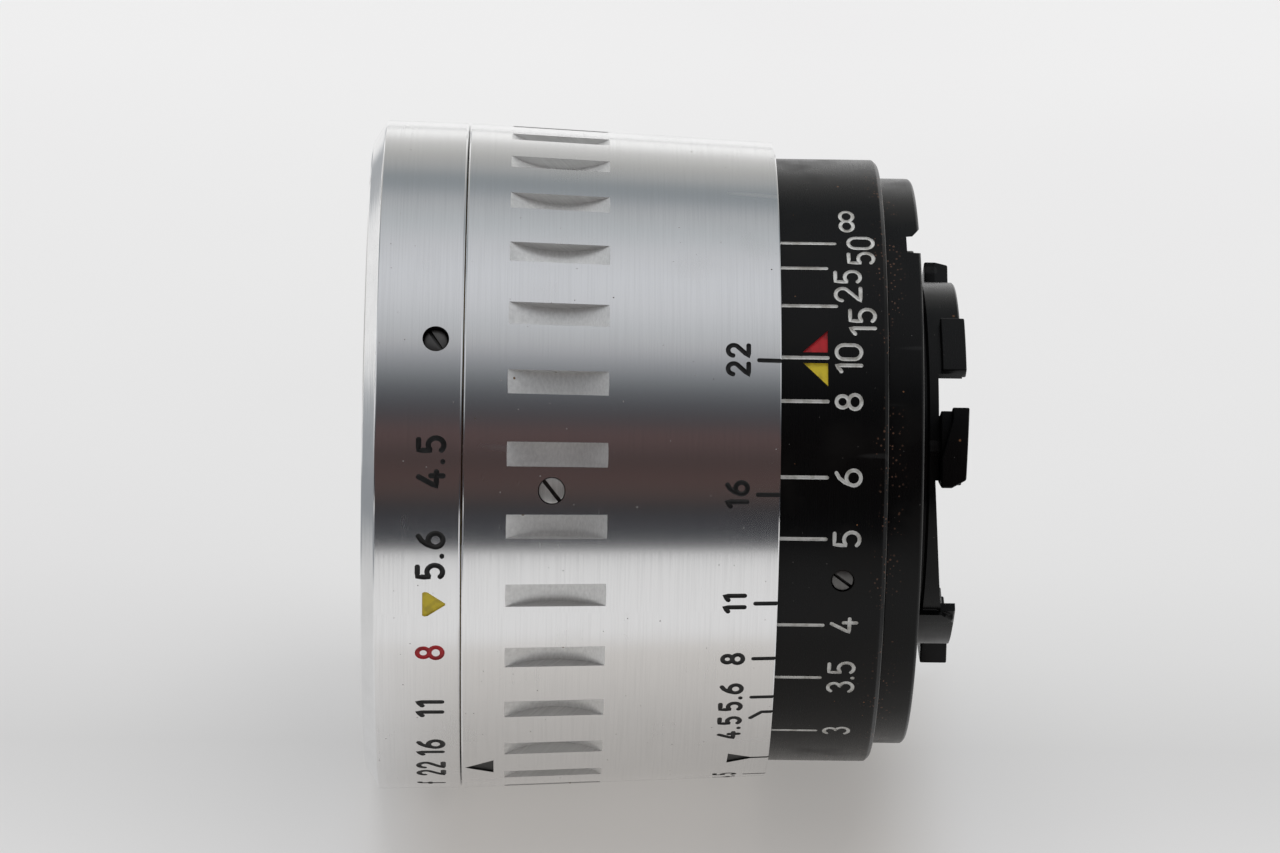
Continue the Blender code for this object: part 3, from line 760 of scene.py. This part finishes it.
def makeBarrel():
    use = focusBarrel
    start, end = lens["seam"] + 0.04, lens["barrelEnd"]
    outline = [(start, 24.65), (start, 26.70), (start + 0.07, 26.78),
               (start + 0.15, barrelRadius(start + 0.15))]
    outline += fillStations(start + 0.3, end - 0.25, barrelRadius, 1.0)
    outline += [(end - 0.10, barrelRadius(end - 0.10)), (end - 0.02, barrelRadius(end) - 0.04),
                (end, barrelRadius(end) - 0.12), (end, 24.75), (end - 0.1, 24.65)]
    barrel = turnRing("focusBarrel", outline)
    barrel.data.materials.append(satin)
    discCentre = barrelRadius(use["slotStation"]) + use["cutterRadius"] - use["slotDepth"]
    across = Matrix.Rotation(math.pi / 2, 4, "X")
    discs = [spotMatrix(use["slotStation"], discCentre, use["slotShift"] + 360 / use["slots"] * i) @ across
             for i in range(use["slots"])]
    slots = cylinderCutter("slots", discs, use["cutterRadius"], use["slotWidth"], 120)
    slots.data.materials.append(milled)
    carve(barrel, slots)
    places = drillHoles(barrel, use, 25.5, 0.05)
    paths = []
    for text, angle in use["figures"] + use["mirroredFigures"]:
        paths += placeText(text, use["figureBase"], use["figureHeight"], angle, barrelRadius)
    cutters = [engraver("depthFigures", paths, barrelRadius, use["stroke"], blackPaint)]
    lines = [[(use["lineStart"], a), (end + 0.6, a)] for a in use["lines"] + use["mirrored"]]
    lines.append(use["bentLine"])
    cutters.append(engraver("depthLines", lines, barrelRadius, use["lineWidth"], blackPaint))
    carve(barrel, joined("depthScale", cutters), overlapping=True)
    index, (lower, upper, tip, stop) = use["index"], use["indexStations"]
    half, thin = [math.degrees(use[width] / 25.7) for width in ("indexHalf", "indexThin")]
    corners = [(lower, index - half), (upper, index + half), (tip, index + thin), (stop, index + thin),
               (stop, index - thin), (tip, index - thin)]
    carve(barrel, pocket("rearIndex", corners, barrelRadius, blackPaint))
    index, (base, tip) = use["frontIndex"], use["frontIndexStations"]
    half = math.degrees(use["frontIndexHalf"] / 26.8)
    corners = [(base, index - half), (base, index + half), (tip, index)]
    carve(barrel, pocket("frontIndex", corners, barrelRadius, blackPaint))
    trueNormals(barrel)
    brightEdges(barrel, 24.8)
    finishPiece(barrel, satin, "focus_group", "focus_barrel")
    for number, angle in enumerate(places, 1):
        place = spotMatrix(use["screwStation"], barrelRadius(use["screwStation"]) - 0.05, angle)
        slottedScrew(f"barrelScrew{number}", place, use["screwRadius"], 3.4,
                     use["screwTurn"] + 25 * (number - 1), screwSteel, "focus_group", f"barrel_screw_{number}")
    print("focus barrel done")


distanceRing = {
    "screwAngle": 22.5, "screwStation": 37.07, "screwRadius": 0.85, "screwTurn": -38,
    "figureHeight": 1.93, "stroke": 0.30, "innerBase": 38.27, "outerBase": 39.36, "lineWidth": 0.29,
    "shortEnd": 35.68, "longEnd": 36.38,
    "innerFigures": [("25", -33.7), ("10", -18.8), ("8", -10.6), ("6", 3.2), ("5", 14.5), ("4", 31.7),
                     ("3.5", 44.2), ("3", 61.4)],
    "outerFigures": [("50", -42.1), ("15", -26.1)],
    "shortLines": [-37.6, -18.8, -10.6, 3.2, 14.5, 31.7, 44.2, 61.4],
    "longLines": [-43.8, -29.2],
    "infinity": -50.2, "infinityBase": 38.0, "infinityHeight": 1.24,
    "red": [(33.74, -19.85), (35.68, -19.85), (35.68, -24.1)],
    "yellow": [(33.8, -17.75), (35.70, -17.75), (35.70, -13.45)],
}


def scaleRadius(station):
    return lens["distanceRadius"]


def makeDistanceRing():
    use = distanceRing
    end, radius = lens["distanceEnd"], lens["distanceRadius"]
    outline = [(24.6, 22.85), (24.6, radius - 0.1), (24.7, radius)]
    outline += fillStations(25.2, end - 0.5, scaleRadius, 1.2)
    outline += [(end - 0.36, radius - 0.01), (end - 0.30, radius - 0.04), (end - 0.06, radius - 0.26),
                (end, radius - 0.34), (end, 22.85)]
    ring = turnRing("distanceRing", outline)
    ring.data.materials.append(blackScale)
    places = drillHoles(ring, use, radius, 0.06)
    paths = []
    for text, angle in use["innerFigures"]:
        paths += placeText(text, use["innerBase"], use["figureHeight"], angle, scaleRadius, 1.08, 0.26)
    for text, angle in use["outerFigures"]:
        paths += placeText(text, use["outerBase"], use["figureHeight"], angle, scaleRadius, 1.08, 0.26)
    paths += placeText("infinity", use["infinityBase"], use["infinityHeight"], use["infinity"], scaleRadius)
    lines = [[(31.0, a), (use["shortEnd"], a)] for a in use["shortLines"]]
    lines += [[(31.0, a), (use["longEnd"], a)] for a in use["longLines"]]
    cutters = [
        engraver("distanceFigures", paths, scaleRadius, use["stroke"], whitePaint),
        engraver("distanceLines", lines, scaleRadius, use["lineWidth"], whitePaint),
    ]
    carve(ring, joined("distanceScale", cutters), overlapping=True)
    carve(ring, pocket("redMark", use["red"], scaleRadius, redPaint))
    carve(ring, pocket("yellowMark", use["yellow"], scaleRadius, yellowPaint))
    trueNormals(ring)
    finishPiece(ring, blackScale, "mount", "distance_ring")
    for number, angle in enumerate(places, 1):
        slottedScrew(f"distanceScrew{number}", spotMatrix(use["screwStation"], radius - 0.12, angle),
                     use["screwRadius"], 2.8, use["screwTurn"] - 30 * (number - 1), darkSteel, "mount",
                     f"distance_ring_screw_{number}")
    print("distance ring done")


mountRing = {
    "screwAngles": [60, 180, 300], "screwPlace": 18.2, "wayHeight": 17.5, "wayTilt": 2.15,
    # the lock pin's way in (station, height) corners; its mouth is eased
    "way": [(42.15, -0.60), (42.15, 0.62), (42.62, 0.66), (43.5, 1.5), (44.5, 2.2),
            (44.5, -0.95), (43.5, -0.80), (43.2, -0.64)],
}


def makeMountRing():
    use = mountRing
    face, radius, start = lens["mountFace"], lens["mountRadius"], lens["distanceEnd"] + 0.02
    outline = [(start, 14.9), (start, radius - 0.12), (start + 0.12, radius)]
    outline += fillStations(start + 0.5, face - 0.6, lambda s: radius, 0.8)
    outline += [(face - 0.24, radius - 0.01), (face - 0.16, radius - 0.05), (face - 0.06, radius - 0.15),
                (face, radius - 0.24), (face, 21.6), (face, 15.2), (face - 0.15, 14.9)]
    ring = turnRing("mountRing", outline)
    ring.data.materials.append(blackSeat)
    # the way for the camera's lock pin is milled straight across the face
    shape = bmesh.new()
    out = (at(0, 1, 0) - at(0, 0, 0)).normalized()
    upward = Vector((1, 0, 0)).cross(out) * -1
    tilt = math.radians(use["wayTilt"])
    run = (out * math.cos(tilt) - upward * math.sin(tilt)).normalized()
    rise = run.cross(Vector((1, 0, 0)))
    ends = []
    for reach in (-30, 30):
        middle = at(0, 0, 0) + (upward * use["wayHeight"] + run * reach) * mm
        corners = [middle + (Vector((1, 0, 0)) * s + rise * h) * mm for s, h in use["way"]]
        ends.append([shape.verts.new(corner) for corner in corners])
    count = len(use["way"])
    shape.faces.new(ends[0])
    shape.faces.new(ends[1][::-1])
    for i in range(count):
        j = (i + 1) % count
        shape.faces.new([ends[0][i], ends[1][i], ends[1][j], ends[0][j]])
    carve(ring, meshObject("pinWay", shape, black))
    bores = [axialMatrix(face, use["screwPlace"], a) for a in use["screwAngles"]]
    carve(ring, cylinderCutter("bores", bores, 1.0, 8))
    trueNormals(ring)
    finishPiece(ring, blackSeat, "mount", "mount_ring")
    for number, angle in enumerate(use["screwAngles"], 1):
        slottedScrew(f"mountScrew{number}", axialMatrix(face - 0.12, use["screwPlace"], angle), 0.93,
                     3.2, 25 * number, darkSteel, "mount", f"mount_screw_{number}")
    print("mount ring done")


def axialMatrix(station, radius, angle):
    # Z points out of the mount
    outward = (at(0, 1, angle) - at(0, 0, angle)).normalized()
    facing = Vector((1, 0, 0))
    across = facing.cross(outward)
    turn = Matrix((outward, across, facing)).transposed().to_4x4()
    return Matrix.Translation(at(station, radius, angle)) @ turn


bayonet = {
    "neck": 13.75, "bore": 13.0, "rim": 14.5, "rimStart": 44.15, "rimEnd": 46.85, "cutRadii": (12, 16),
    # the two ramped claws; the third is the last of the pads
    "claws": [(-14.3, 7), (229, 252)], "clawRadius": 17.2,
    # start, end, radius, front and rear of each raised pad on the tube
    "pads": [(-49, -28.4, 15.1, 45.2, 47.15), (-14.1, 6.6, 16.3, 44.95, 46.6),
             (106, 127, 17.2, 44.98, 47.15)],
    "lastPad": (55.2, 80, 14.9, 43.9, 46.75),
    "lowRim": 44.95, "lowStretches": [(-28.4, -14.3), (127, 150), (200, 229)],
    "farRim": 46.3, "farStretch": (149.9, 200.1), "scoop": (6.0, 55.2),
    # where the end of a high part is cut level rather than towards the axis: front, start and end
    "levelCuts": [(44.95, -38, -28.3), (45.3, 50, 62)],
}


def clawShape(share):
    # a claw is thin where it enters the throat and thickens to pull the lens home
    front = 45.8 if share < 0.18 else max(44.95, 45.8 - (share - 0.18) / 0.45 * 0.85)
    rear = lens["length"] - 0.25 * share
    if share > 0.9:
        rear -= (share - 0.9) / 0.1 * 1.1
    return front, rear


def scoopShape(share):
    # the throat dips behind one claw and climbs gently to the next high part of the rim
    return 44.7 + 0.75 * share + 0.25 * share ** 2, lens["length"] + 1


def makeBayonet():
    use = bayonet
    end = use["rimEnd"]
    rim = use["rim"]
    outline = [(39.3, use["bore"]), (39.3, 21.2), (40.38, 21.2), (40.38, use["neck"]),
               (use["rimStart"] - 0.05, use["neck"]), (use["rimStart"], rim - 0.08),
               (use["rimStart"] + 0.1, rim)]
    outline += fillStations(use["rimStart"] + 0.5, end - 0.3, lambda s: rim, 0.7)
    outline += [(end - 0.12, rim), (end, rim - 0.12), (end, use["bore"] + 0.12), (end - 0.12, use["bore"])]
    outline += fillStations(40.5, end - 0.8, lambda s: use["bore"], 1.0)[::-1]
    tube = turnRing("bayonetTube", outline)
    tube.data.materials.append(black)
    beyond, (inner, outer) = end + 1, use["cutRadii"]
    for start, stop in use["lowStretches"]:
        carve(tube, wedge("low", use["lowRim"], beyond, inner, outer, start, stop))
    for front, start, stop in use["levelCuts"]:
        carve(tube, wedge("lowInside", front, beyond, inner, use["neck"], start, stop))
    carve(tube, wedge("farSide", use["farRim"], beyond, inner, outer, *use["farStretch"]))
    carve(tube, lugShape("scoop", *use["scoop"], inner, outer, scoopShape))
    lugs = []
    for start, stop in use["claws"]:
        lug = lugShape("claw", start, stop, rim - 0.6, use["clawRadius"], clawShape)
        soften(lug, 0.12, 40)
        lugs.append(lug)
    start, stop, radius, front, rear = use["lastPad"]
    lugs.append(lugShape("pad", start, stop, rim - 0.6, radius,
                         lambda share: (front, rear - max(0, 0.18 - share) / 0.18)))
    for start, stop, radius, front, rear in use["pads"]:
        pad = lugShape("pad", start, stop, rim - 0.6, radius, lambda share, ends=(front, rear): ends)
        soften(pad, 0.12)
        lugs.append(pad)
    for lug in lugs:
        lug.data.materials.clear()
        lug.data.materials.append(black)
        carve(tube, lug, "UNION")
    bores = [axialMatrix(40, mountRing["screwPlace"], a) for a in mountRing["screwAngles"]]
    carve(tube, cylinderCutter("bores", bores, 1.0, 6))
    trueNormals(tube)
    finishPiece(tube, black, "mount", "bayonet_tube")
    shield = turnRing("lightShield", [
        (43.2, 11.6), (43.2, 12.65), (44.4, 12.65), (44.4, 12.3), (44.3, 12.2), (44.3, 10.3), (44.4, 10.15),
        (44.4, 10.0), (43.8, 10.0),
    ])
    trueNormals(shield)
    finishPiece(shield, black, "mount", "rear_light_shield")
    print("bayonet done")


# the cone inside the front ring runs from its throat to its mouth, both (station, radius)
optics = {"baffleSteps": 9, "throat": (7.2, 14.45), "mouth": (3.6, 18.2)}


def cap(rimRadius, rimStation, poleStation, count=18):
    sag = rimStation - poleStation
    curve = (rimRadius ** 2 + sag ** 2) / (2 * abs(sag))
    side = 1 if sag > 0 else -1
    radii = [rimRadius * i / count for i in range(count + 1)]
    return [(poleStation + side * (curve - math.sqrt(curve ** 2 - r ** 2)), r) for r in radii]


def makeElement(name, node, radius, frontRim, frontPole, rearRim, rearPole, frontRadius=None,
                rearRadius=None):
    front = cap(frontRadius or radius, frontRim, frontPole)
    rear = cap(rearRadius or radius, rearRim, rearPole)
    edge = [(frontRim, radius)] if frontRadius else []
    edge += [(rearRim, radius)] if rearRadius else []
    element = turnRing(name, front + edge + rear[::-1], 128, closed=False)
    element.data.shade_smooth()
    element.data.set_sharp_from_angle(angle=math.radians(25))
    return finishPiece(element, glass, "focus_group", node)


def makeOptics():
    steps = optics["baffleSteps"]
    (throatStation, throatRadius), (mouthStation, mouthRadius) = optics["throat"], optics["mouth"]
    outline = [(3.0, 23.3), (3.0, 23.65), (3.1, 23.75), (4.4, 23.75), (4.4, 18.6), (9.0, 18.6), (9.0, 15.4),
               (8.0, 15.4), (8.0, 14.3), (7.35, 14.3), (7.2, 14.45)]
    for i in range(steps):
        # the cone is cut into shallow steps that keep stray light out of the glass
        share = (i + 1) / steps
        r = throatRadius + (mouthRadius - throatRadius) * share
        s = throatStation + (mouthStation - throatStation) * share
        outline += [(s + 0.36, r - 0.06), (s + 0.02, r)]
    outline += [(3.45, 18.45), (3.42, 20.2), (3.3, 20.3), (3.28, 22.0), (3.16, 22.1), (3.05, 23.2)]
    ring = turnRing("frontRing", outline)
    trueNormals(ring)
    finishPiece(ring, black, "focus_group", "front_ring")
    makeElement("frontElement", "front_element", 15.0, 8.35, 5.9, 9.7, 7.3, 14.2, 12.0)
    makeElement("secondElement", "second_element", 8.85, 15.9, 15.35, 17.2, 17.9)
    makeElement("thirdElement", "third_element", 9.4, 26.1, 27.3, 29.0, 28.4, 7.0, 8.2)
    makeElement("rearElement", "rear_element", 9.4, 32.9, 32.0, 35.2, 36.7)
    cells = {
        "frontCell": ("front_cell", [
            (9.3, 18.6), (19.6, 18.6), (19.6, 9.2), (15.0, 9.2), (15.0, 8.0), (14.2, 8.0), (12.8, 9.5),
            (12.8, 9.9), (11.4, 11.0), (11.4, 11.4), (10.0, 12.5), (10.0, 15.35), (9.3, 15.35),
        ]),
        "secondRetainer": ("second_retaining_ring", [
            (17.5, 8.85), (19.2, 8.85), (19.2, 7.6), (18.2, 7.6), (17.5, 8.2),
        ]),
        "rearCell": ("rear_cell", [
            (24.6, 18.2), (26.0, 18.2), (26.0, 14.0), (33.5, 14.0), (33.5, 11.8), (38.75, 11.8),
            (38.9, 11.65), (38.9, 9.95), (38.75, 9.8), (25.7, 9.8), (25.7, 7.2), (24.6, 7.2),
        ]),
        "rearRetainer": ("rear_retaining_ring", [
            (36.3, 9.0), (36.3, 9.4), (38.2, 9.4), (38.2, 8.3), (38.1, 8.2), (37.8, 8.2), (37.8, 8.35),
            (37.5, 8.2), (37.3, 8.2),
        ]),
    }
    for name, (node, cellOutline) in cells.items():
        cell = turnRing(name, cellOutline, 160)
        trueNormals(cell)
        finishPiece(cell, black, "focus_group", node)
    print("optics done")


def dressHiddenPieces():
    # pieces deep inside keep their solids and get real finishes
    finishes = {"brass": brass, "steel": screwSteel, "blackened_steel": bladeSteel, "black_anodised": black,
                "coated_glass": glass, "satin_aluminium": satin}
    slotOf = {part["node"]: part["material_slot"] for part in frame["record"]["subparts"]}
    for node, piece in frame["nodes"].items():
        piece.data.materials.clear()
        piece.data.materials.append(finishes[slotOf[node]])


studio = {
    "distance": 0.4447, "footStation": 13.7, "focal": 154.4, "turn": 1.033, "tilt": 0.323, "roll": 0.75,
    # what the lens sees by degrees from the front horizon (0) over the top (90) to the back horizon (180)
    "dome": [
        (0, (0.030, 0.032, 0.039)), (3, (0.034, 0.035, 0.042)), (10, (0.030, 0.029, 0.031)),
        (14, (0.072, 0.051, 0.047)), (19.5, (0.080, 0.050, 0.047)), (26, (0.055, 0.040, 0.039)),
        (31, (0.083, 0.057, 0.056)), (35, (0.105, 0.065, 0.063)), (39.5, (0.058, 0.052, 0.056)),
        (45, (0.068, 0.070, 0.078)), (49, (0.095, 0.100, 0.110)), (53, (0.150, 0.162, 0.172)),
        (60, (0.285, 0.295, 0.315)), (66, (0.450, 0.455, 0.470)), (73, (0.510, 0.525, 0.545)),
        (81, (0.600, 0.610, 0.635)), (92, (0.630, 0.645, 0.675)), (104, (0.580, 0.590, 0.615)),
        (113, (0.490, 0.515, 0.535)), (124, (0.430, 0.443, 0.460)), (132, (0.265, 0.290, 0.310)),
        (138, (0.235, 0.262, 0.280)), (144, (0.360, 0.370, 0.375)), (152, (0.430, 0.430, 0.420)),
        (164, (0.600, 0.595, 0.585)), (174, (1.0, 1.0, 0.995)),
    ],
    "backdrop": (0.85, 0.85, 0.85, 1),
    "tableFront": -0.345,
    # how bright the table glows, by metres from the lens; it is painted light: darker in front of it with a
    # painted shade under the lens, brighter behind
    "table": [
        (-0.340, 0.49), (-0.060, 0.50), (-0.028, 0.45), (-0.008, 0.38), (0.000, 0.36), (0.015, 0.42),
        (0.033, 0.470), (0.053, 0.495), (0.074, 0.51), (0.096, 0.525), (0.121, 0.54), (0.145, 0.56),
        (1.0, 0.58),
    ],
    "tableColour": (0.30, 0.297, 0.292, 1),
    # each softbox: place, size and watts
    "softboxes": {
        "overheadSoftbox": ((0.1, 0.45, 1.2), (1.2, 0.9), 9.5),
        "frontFill": ((0.15, -1.0, 0.55), (0.7, 0.7), 2.5),
    },
    "paintedDarkReflection": (0.33, 0.35, 0.375, 1), "paintedShadowColour": (0.83, 0.80, 0.77, 1),
}


def fillRamp(tree, value, stops):
    ramp = addNode(tree, "ShaderNodeValToRGB", None, {0: value})
    elements = ramp.color_ramp.elements
    while len(elements) < len(stops):
        elements.new(0.5)
    for element, (place, colour) in zip(elements, stops):
        element.position = place
        element.color = (*colour, 1)
    return ramp.outputs[0]


def makeStudio():
    use = studio
    scene = bpy.context.scene
    scene.view_settings.view_transform = "Standard"
    world = bpy.data.worlds.new("studio")
    world.use_nodes = True
    scene.world = world
    tree = world.node_tree
    direction = addNode(tree, "ShaderNodeTexCoord").outputs["Generated"]
    parts = addNode(tree, "ShaderNodeSeparateXYZ", None, {0: direction})
    toFront = times(tree, parts.outputs["Y"], -1.0)
    angle = math2(tree, "ARCTAN2", parts.outputs["Z"], toFront)
    share = math2(tree, "DIVIDE", angle, math.pi)
    ramp = fillRamp(tree, share, [(degrees / 180, colour) for degrees, colour in use["dome"]])
    # the camera itself only ever sees a plain pale backdrop
    seen = addNode(tree, "ShaderNodeLightPath").outputs["Is Camera Ray"]
    tree.links.new(mixColour(tree, seen, ramp, use["backdrop"]), tree.nodes["Background"].inputs[0])

    tableMaterial, tableTree, tableShader = newMaterial("glowingTable", 0.0, 0.35)
    tableShader.inputs["Specular IOR Level"].default_value = 0.25
    place = objectPlace(tableTree)
    sides = addNode(tableTree, "ShaderNodeSeparateXYZ", None, {0: place}).outputs
    away = sides["Y"]
    low, high = use["table"][0][0], use["table"][-1][0]
    values = {"Value": away, "From Min": low, "From Max": high}
    along = addNode(tableTree, "ShaderNodeMapRange", None, values)
    stops = [((metres - low) / (high - low), (glow,) * 3) for metres, glow in use["table"]]
    glow = fillRamp(tableTree, along.outputs[0], stops)
    shade = smooth(tableTree, noise(tableTree, place, 9.0, 3.0), 0.3, 0.8)
    stainAndPaintedShade = mixColour(tableTree, shade, (1.0, 1.0, 1.0, 1), (0.975, 0.97, 0.975, 1))
    # painted shadow: the table's glow and colour are darkened in a soft patch under and in front of the lens
    acrossGap = math2(tableTree, "SUBTRACT", math2(tableTree, "ABSOLUTE", sides["X"]), 0.015)
    fromMiddle = math2(tableTree, "ABSOLUTE", math2(tableTree, "ADD", away, 0.022))
    alongGap = math2(tableTree, "SUBTRACT", fromMiddle, 0.026)
    gap = math2(tableTree, "MAXIMUM", math2(tableTree, "MAXIMUM", acrossGap, alongGap), 0.0)
    near = math2(tableTree, "SUBTRACT", 1.0, smooth(tableTree, gap, 0.0, 0.012))
    stainAndPaintedShade = mixColour(tableTree, near, stainAndPaintedShade, use["paintedShadowColour"])
    # painted reflection: a dark strip on the table well to the left, seen only by glossy rays, puts a darker
    # reflection in the front chamfer
    left = times(tableTree, sides["X"], -1.0)
    dark = times(tableTree, smooth(tableTree, left, 0.078, 0.125),
                 math2(tableTree, "SUBTRACT", 1.0, smooth(tableTree, left, 0.27, 0.45)))
    mirrored = addNode(tableTree, "ShaderNodeLightPath").outputs["Is Glossy Ray"]
    dark = times(tableTree, dark, mirrored)
    stainAndPaintedShade = mixColour(tableTree, dark, stainAndPaintedShade, use["paintedDarkReflection"])
    emitted = mixColour(tableTree, 1.0, glow, stainAndPaintedShade, "MULTIPLY")
    # painted light: the table emits its own glow, which carries the painted shadow and reflection below
    tableTree.links.new(emitted, tableShader.inputs["Emission Color"])
    tableShader.inputs["Emission Strength"].default_value = 1.0
    tableTree.links.new(mixColour(tableTree, 1.0, use["tableColour"], stainAndPaintedShade, "MULTIPLY"),
                        tableShader.inputs["Base Color"])
    shape = bmesh.new()
    front, reach = use["tableFront"], 3.0
    corners = [(-reach, front), (reach, front), (reach, reach), (-reach, reach)]
    shape.faces.new([shape.verts.new((x, y, 0)) for x, y in corners])
    table = meshObject("table", shape, tableMaterial, False)
    table.location.z = -0.00003

    for name, (place, size, watts) in use["softboxes"].items():
        # they light the lens but never show in its metal
        light = bpy.data.lights.new(name, "AREA")
        light.shape = "RECTANGLE"
        light.size, light.size_y = size
        light.energy = watts
        softbox = newObject(name, light)
        softbox.location = place
        softbox.rotation_euler = (-Vector(place)).to_track_quat("-Z", "Y").to_euler()
        softbox.visible_glossy = False

    camera = bpy.data.cameras.new("camera")
    camera.lens = use["focal"]
    camera.sensor_width = 36
    camera.clip_start = 0.01
    camera.clip_end = 20
    view = newObject("camera", camera)
    foot = at(use["footStation"], 0, 0)
    outward = (at(0, 1, 0) - at(0, 0, 0)).normalized()
    right = Vector((1, 0, 0))
    up = outward.cross(right)
    base = Matrix((right, up, outward)).transposed().to_4x4()
    turns = Matrix.Rotation(-math.radians(use["turn"]), 4, "Y")
    turns = turns @ Matrix.Rotation(math.radians(use["tilt"]), 4, "X")
    turns = turns @ Matrix.Rotation(math.radians(use["roll"]), 4, "Z")
    view.matrix_world = Matrix.Translation(foot + outward * use["distance"]) @ base @ turns
    scene.camera = view
    print("studio done")


makeApertureRing()
makeBarrel()
makeDistanceRing()
makeMountRing()
makeBayonet()
makeOptics()
dressHiddenPieces()
makeStudio()

print("scene built")
